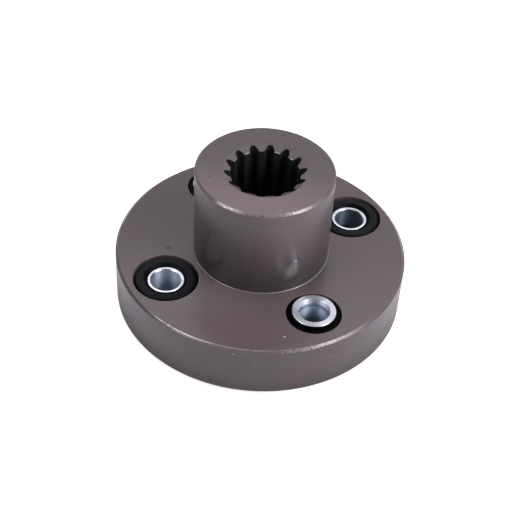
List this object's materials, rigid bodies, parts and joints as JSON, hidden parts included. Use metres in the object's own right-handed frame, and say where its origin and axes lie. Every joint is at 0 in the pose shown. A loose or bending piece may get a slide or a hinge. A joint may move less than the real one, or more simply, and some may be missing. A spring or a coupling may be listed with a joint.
{
  "type": "shaft coupling",
  "caption": "Splined hub flange of a flexible shaft coupling, with conical rubber bushes, steel sleeves and end collars for its bolts.",
  "frame": {"origin": "on the coupling's axis, at the level of the rear collars' faces, on which it rests", "axes": "+Z along the coupling's axis, from the rear face to the hub's face; seen from the front, +X to the right and +Y to the back"},
  "size_m": [0.118, 0.118, 0.064],
  "materials": {
    "flange_paint": "semi-gloss bronze-grey paint",
    "bush_rubber": "matt black rubber",
    "sleeve_steel": "bright zinc-plated steel, turned",
    "collar_steel": "bright zinc-plated steel, fine turned marks"
  },
  "bodies": {
    "root": {"hub_flange": "flange_paint", "bush_rubber_left": "bush_rubber", "bush_rubber_front": "bush_rubber", "bush_rubber_right": "bush_rubber", "bush_rubber_rear": "bush_rubber", "sleeve_left": "sleeve_steel", "sleeve_front": "sleeve_steel", "sleeve_right": "sleeve_steel", "sleeve_rear": "sleeve_steel", "collar_left": "collar_steel", "collar_front": "collar_steel", "collar_right": "collar_steel", "collar_rear": "collar_steel"}
  },
  "joints": []
}
